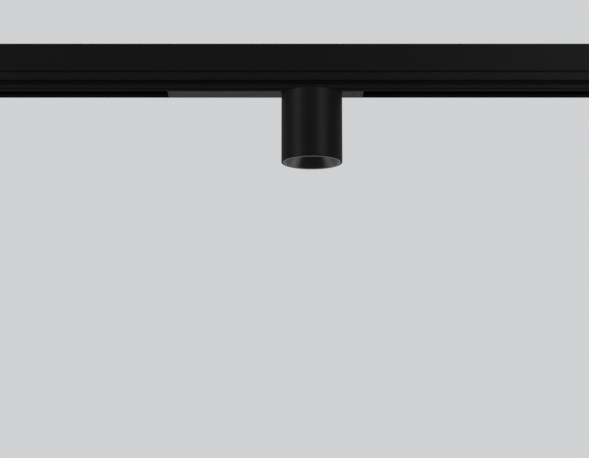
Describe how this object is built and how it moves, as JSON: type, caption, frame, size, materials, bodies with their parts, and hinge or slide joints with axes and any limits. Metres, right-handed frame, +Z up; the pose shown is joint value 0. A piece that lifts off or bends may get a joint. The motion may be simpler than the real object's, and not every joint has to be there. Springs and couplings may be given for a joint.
{
  "type": "track spotlight",
  "caption": "Black cylinder spotlight hanging from a magnetic adaptor in a ceiling track; it slides, pans and tilts.",
  "frame": {"origin": "centre of the track's ceiling face, straight above the lamp's swivel axis with the adaptor at rest", "axes": "+X along the track, +Y towards the tilt hinge behind the lamp, +Z up into the ceiling"},
  "size_m": [0.6416, 0.0608, 0.1175],
  "materials": {
    "black_powder_coat": "fine-texture matt powder coat",
    "satin_black": "smooth satin paint",
    "black_plastic": "moulded, lightly textured",
    "grey_plastic": "moulded, smooth",
    "copper": "drawn copper",
    "bright_steel": "zinc-plated or spring steel",
    "nickel_plate": "nickel-plated magnet",
    "bare_aluminium": "extruded, bare",
    "board_green": "solder mask",
    "board_white": "white solder mask",
    "phosphor_yellow": "phosphor under silicone",
    "clear_lens": "clear moulded acrylic",
    "grommet_rubber": "soft, matt",
    "ferrite": "dark sintered or moulded",
    "capacitor_sleeve": "shrink sleeve"
  },
  "bodies": {
    "track": {"track_profile": "black_powder_coat", "magnet_strip": "bright_steel", "conductor_carrier_front": "grey_plastic", "conductor_carrier_back": "grey_plastic", "conductor_front_1": "copper", "conductor_front_2": "copper", "conductor_back_1": "copper", "conductor_back_2": "copper", "end_cap_left": "black_plastic", "end_cap_feed": "black_plastic", "feed_grommet": "grommet_rubber"},
    "adaptor": {"driver_housing": "black_plastic", "cover_plate": "black_powder_coat", "contact_block": "grey_plastic", "spring_contact_front_1": "copper", "spring_contact_front_2": "copper", "spring_contact_back_1": "copper", "spring_contact_back_2": "copper", "magnet_left": "nickel_plate", "magnet_right": "nickel_plate", "driver_board": "board_green", "driver_inductor": "ferrite", "driver_capacitor_1": "capacitor_sleeve", "driver_capacitor_2": "capacitor_sleeve", "driver_chip": "ferrite", "output_connector": "board_white", "swivel_bush": "grey_plastic"},
    "release_button": {"release_button": "black_powder_coat", "release_spring": "bright_steel"},
    "latch_front": {"latch_front": "bright_steel"},
    "latch_back": {"latch_back": "bright_steel"},
    "swivel": {"swivel_shaft": "bright_steel", "friction_washer": "bright_steel", "swivel_nut": "bright_steel", "tilt_arm": "bright_steel", "arm_screw_1": "bright_steel", "arm_screw_2": "bright_steel"},
    "head": {"head_tube": "black_powder_coat", "top_cap": "black_powder_coat", "cap_screw_1": "bright_steel", "cap_screw_2": "bright_steel", "hinge_pin": "bright_steel", "heat_sink": "bare_aluminium", "thermal_pad": "grommet_rubber", "led_board": "board_white", "led_board_screw_1": "bright_steel", "led_board_screw_2": "bright_steel", "led_chip": "phosphor_yellow", "lens_holder": "black_plastic", "lens": "clear_lens", "glare_cone": "satin_black"}
  },
  "joints": [
    {"name": "adaptor_slide", "type": "slide", "parent": "track", "child": "adaptor", "axis": [1, 0, 0], "range_m": [-0.18, 0.24]},
    {"name": "head_pan", "type": "hinge", "parent": "adaptor", "child": "swivel", "pos_m": [0, 0, -0.0485], "axis": [0, 0, 1], "range_deg": [-175, 175]},
    {"name": "head_tilt", "type": "hinge", "parent": "swivel", "child": "head", "pos_m": [0, 0.0282, -0.0513], "axis": [1, 0, 0], "range_deg": [0, 90]},
    {"name": "release_press", "type": "slide", "parent": "adaptor", "child": "release_button", "axis": [0, 0, 1], "range_m": [0, 0.0015], "stiffness_N_per_m": 500, "springref_m": -0.002, "deforming": ["release_spring"]},
    {"name": "latch_front_slide", "type": "slide", "parent": "adaptor", "child": "latch_front", "axis": [0, 1, 0], "range_m": [0, 0.0015]},
    {"name": "latch_back_slide", "type": "slide", "parent": "adaptor", "child": "latch_back", "axis": [0, -1, 0], "range_m": [0, 0.0015]}
  ],
  "couplings": [
    {"joint": "latch_front_slide", "follows": "release_press", "ratio": 1},
    {"joint": "latch_back_slide", "follows": "release_press", "ratio": 1}
  ]
}
